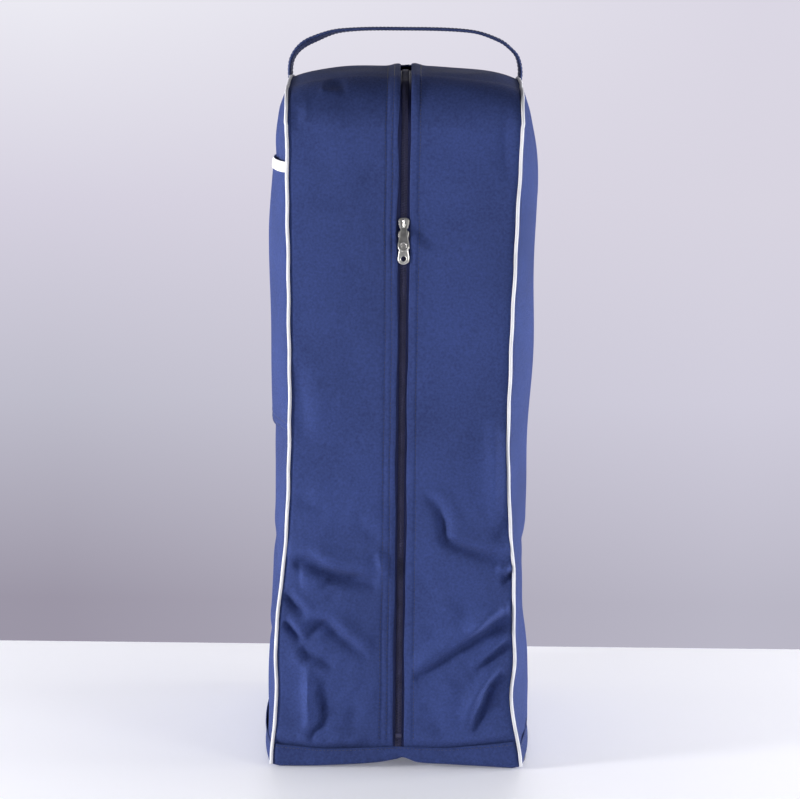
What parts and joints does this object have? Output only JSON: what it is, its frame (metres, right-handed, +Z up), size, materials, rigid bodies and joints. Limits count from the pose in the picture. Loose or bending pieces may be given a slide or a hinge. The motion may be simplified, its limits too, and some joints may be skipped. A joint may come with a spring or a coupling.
{
  "type": "tall shoe and boot bag",
  "caption": "Tall upright fabric shoe and boot bag with a narrow zipped front, piped edges, a webbing top handle, a side slip pocket and paired zip sliders.",
  "frame": {"origin": "under the middle of the whole bag, on the floor it stands on", "axes": "+Z up, -Y out of the zipped front, +X to the right seen from the front"},
  "size_m": [0.241, 0.3126, 0.6538],
  "materials": {
    "canvas": "navy coated polyester canvas, fine plain weave",
    "piping": "white woven piping and binding",
    "seam_tape": "dark twill seam binding",
    "zip_tape": "black herringbone zip tape",
    "zip_coil": "black nylon coil",
    "nickel": "nickel plate, lightly worn",
    "webbing": "navy ribbed webbing",
    "board": "dark plastic stiffener board"
  },
  "bodies": {
    "shell": {"base_panel": "canvas", "side_panel_left": "canvas", "side_panel_right": "canvas", "pocket_panel": "canvas", "top_panel_left": "canvas", "top_panel_right": "canvas", "back_panel": "canvas", "zip_end_tab": "canvas", "base_board": "board", "pocket_binding": "piping", "piping_left": "piping", "piping_right": "piping", "seam_binding_left": "seam_tape", "seam_binding_right": "seam_tape", "zip_tape_top_left": "zip_tape", "zip_coil_top_left": "zip_coil", "handle_anchor_left": "webbing", "zip_tape_top_right": "zip_tape", "zip_coil_top_right": "zip_coil", "handle_anchor_right": "webbing", "zip_stop_bottom": "nickel", "zip_stop_top": "nickel"},
    "flap_left": {"front_panel_left": "canvas", "zip_tape_left": "zip_tape", "zip_coil_left": "zip_coil"},
    "flap_right": {"front_panel_right": "canvas", "zip_tape_right": "zip_tape", "zip_coil_right": "zip_coil"},
    "upper_slider": {"slider_upper": "nickel"},
    "lower_slider": {"slider_lower": "nickel"},
    "upper_pull": {"pull_upper": "nickel"},
    "lower_pull": {"pull_lower": "nickel"},
    "handle": {"handle_strap": "webbing"}
  },
  "joints": [
    {"name": "slider_lower_slide", "type": "slide", "parent": "shell", "child": "lower_slider", "axis": [0, 0, -1], "range_m": [0, 0.436]},
    {"name": "slider_upper_slide", "type": "slide", "parent": "shell", "child": "upper_slider", "axis": [0, 0, 1], "range_m": [0, 0.076]},
    {"name": "flap_left_swing", "type": "hinge", "parent": "shell", "child": "flap_left", "pos_m": [-0.103, -0.1465, 0.3], "axis": [0, 0, -1], "range_deg": [0, 80], "deforming": ["zip_tape_left", "zip_coil_left"]},
    {"name": "flap_right_swing", "type": "hinge", "parent": "shell", "child": "flap_right", "pos_m": [0.103, -0.1465, 0.3], "axis": [0, 0, 1], "range_deg": [0, 80], "deforming": ["zip_tape_right", "zip_coil_right"]},
    {"name": "pull_lower_lift", "type": "hinge", "parent": "lower_slider", "child": "lower_pull", "pos_m": [0, -0.14685, 0.4767], "axis": [-1, 0, 0], "range_deg": [0, 129]},
    {"name": "pull_upper_lift", "type": "hinge", "parent": "upper_slider", "child": "upper_pull", "pos_m": [0, -0.14685, 0.4875], "axis": [-1, 0, 0], "range_deg": [0, 129]},
    {"name": "handle_swing", "type": "hinge", "parent": "shell", "child": "handle", "pos_m": [0, -0.022, 0.618], "axis": [1, 0, 0], "range_deg": [-45, 45]}
  ],
  "couplings": [
    {"joint": "flap_left_swing", "follows": "slider_lower_slide", "rad_per_m": 3.202},
    {"joint": "flap_right_swing", "follows": "slider_lower_slide", "rad_per_m": 3.202},
    {"joint": "pull_upper_lift", "follows": "pull_lower_lift", "ratio": 1}
  ]
}
